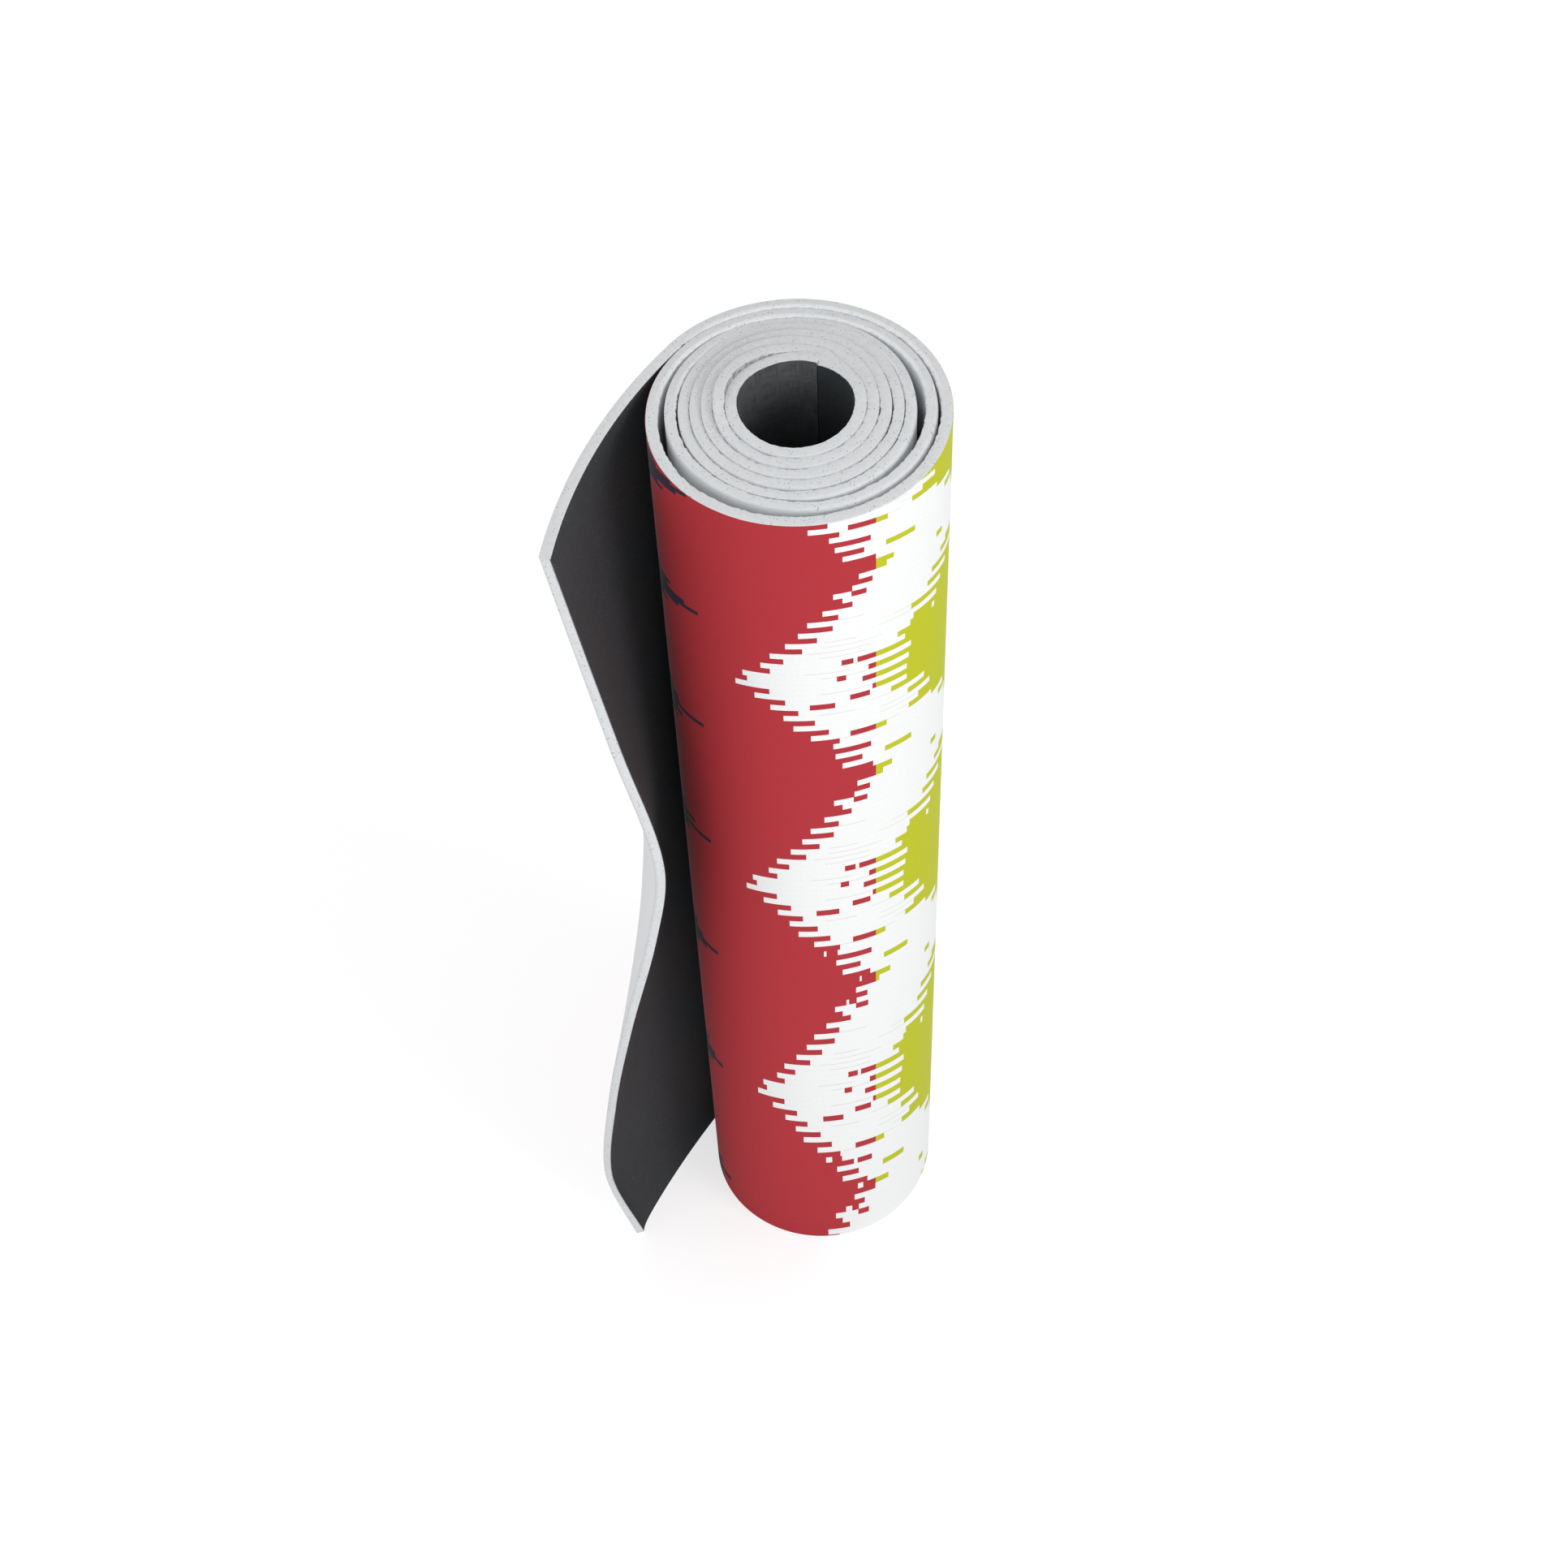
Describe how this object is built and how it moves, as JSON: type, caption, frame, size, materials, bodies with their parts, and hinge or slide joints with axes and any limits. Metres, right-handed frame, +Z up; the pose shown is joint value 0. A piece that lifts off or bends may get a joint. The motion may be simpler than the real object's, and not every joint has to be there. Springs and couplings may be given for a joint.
{
  "type": "yoga mat",
  "caption": "Rolled exercise mat standing on end: a printed face, foam core and woven backing wound into a roll with an open bore, its outer end peeled away as a curled flap.",
  "frame": {"origin": "on the floor, under the middle of the box that the whole mat fills", "axes": "+Z up along the roll's axis; the free end peels away towards -X and hangs forward to -Y, the side that faces the viewer"},
  "size_m": [0.1854, 0.1398, 0.6136],
  "materials": {
    "printed_face": "matt woven-look print in red, white and lime with navy tufts, running round the roll",
    "foam_core": "pale grey closed-cell foam, matt and finely pored where it is cut",
    "woven_backing": "charcoal grip layer with a fine square weave, matt"
  },
  "bodies": {
    "roll": {"roll_face": "printed_face", "roll_core": "foam_core", "roll_backing": "woven_backing"},
    "flap": {"flap_face": "printed_face", "flap_core": "foam_core", "flap_backing": "woven_backing"}
  },
  "joints": [
    {"name": "flap_bend", "type": "hinge", "parent": "roll", "child": "flap", "pos_m": [-0.02135, 0.04641, 0.3048], "axis": [0, 0, -1], "range_deg": [0, 60], "stiffness_Nm_per_rad": 0.15}
  ]
}
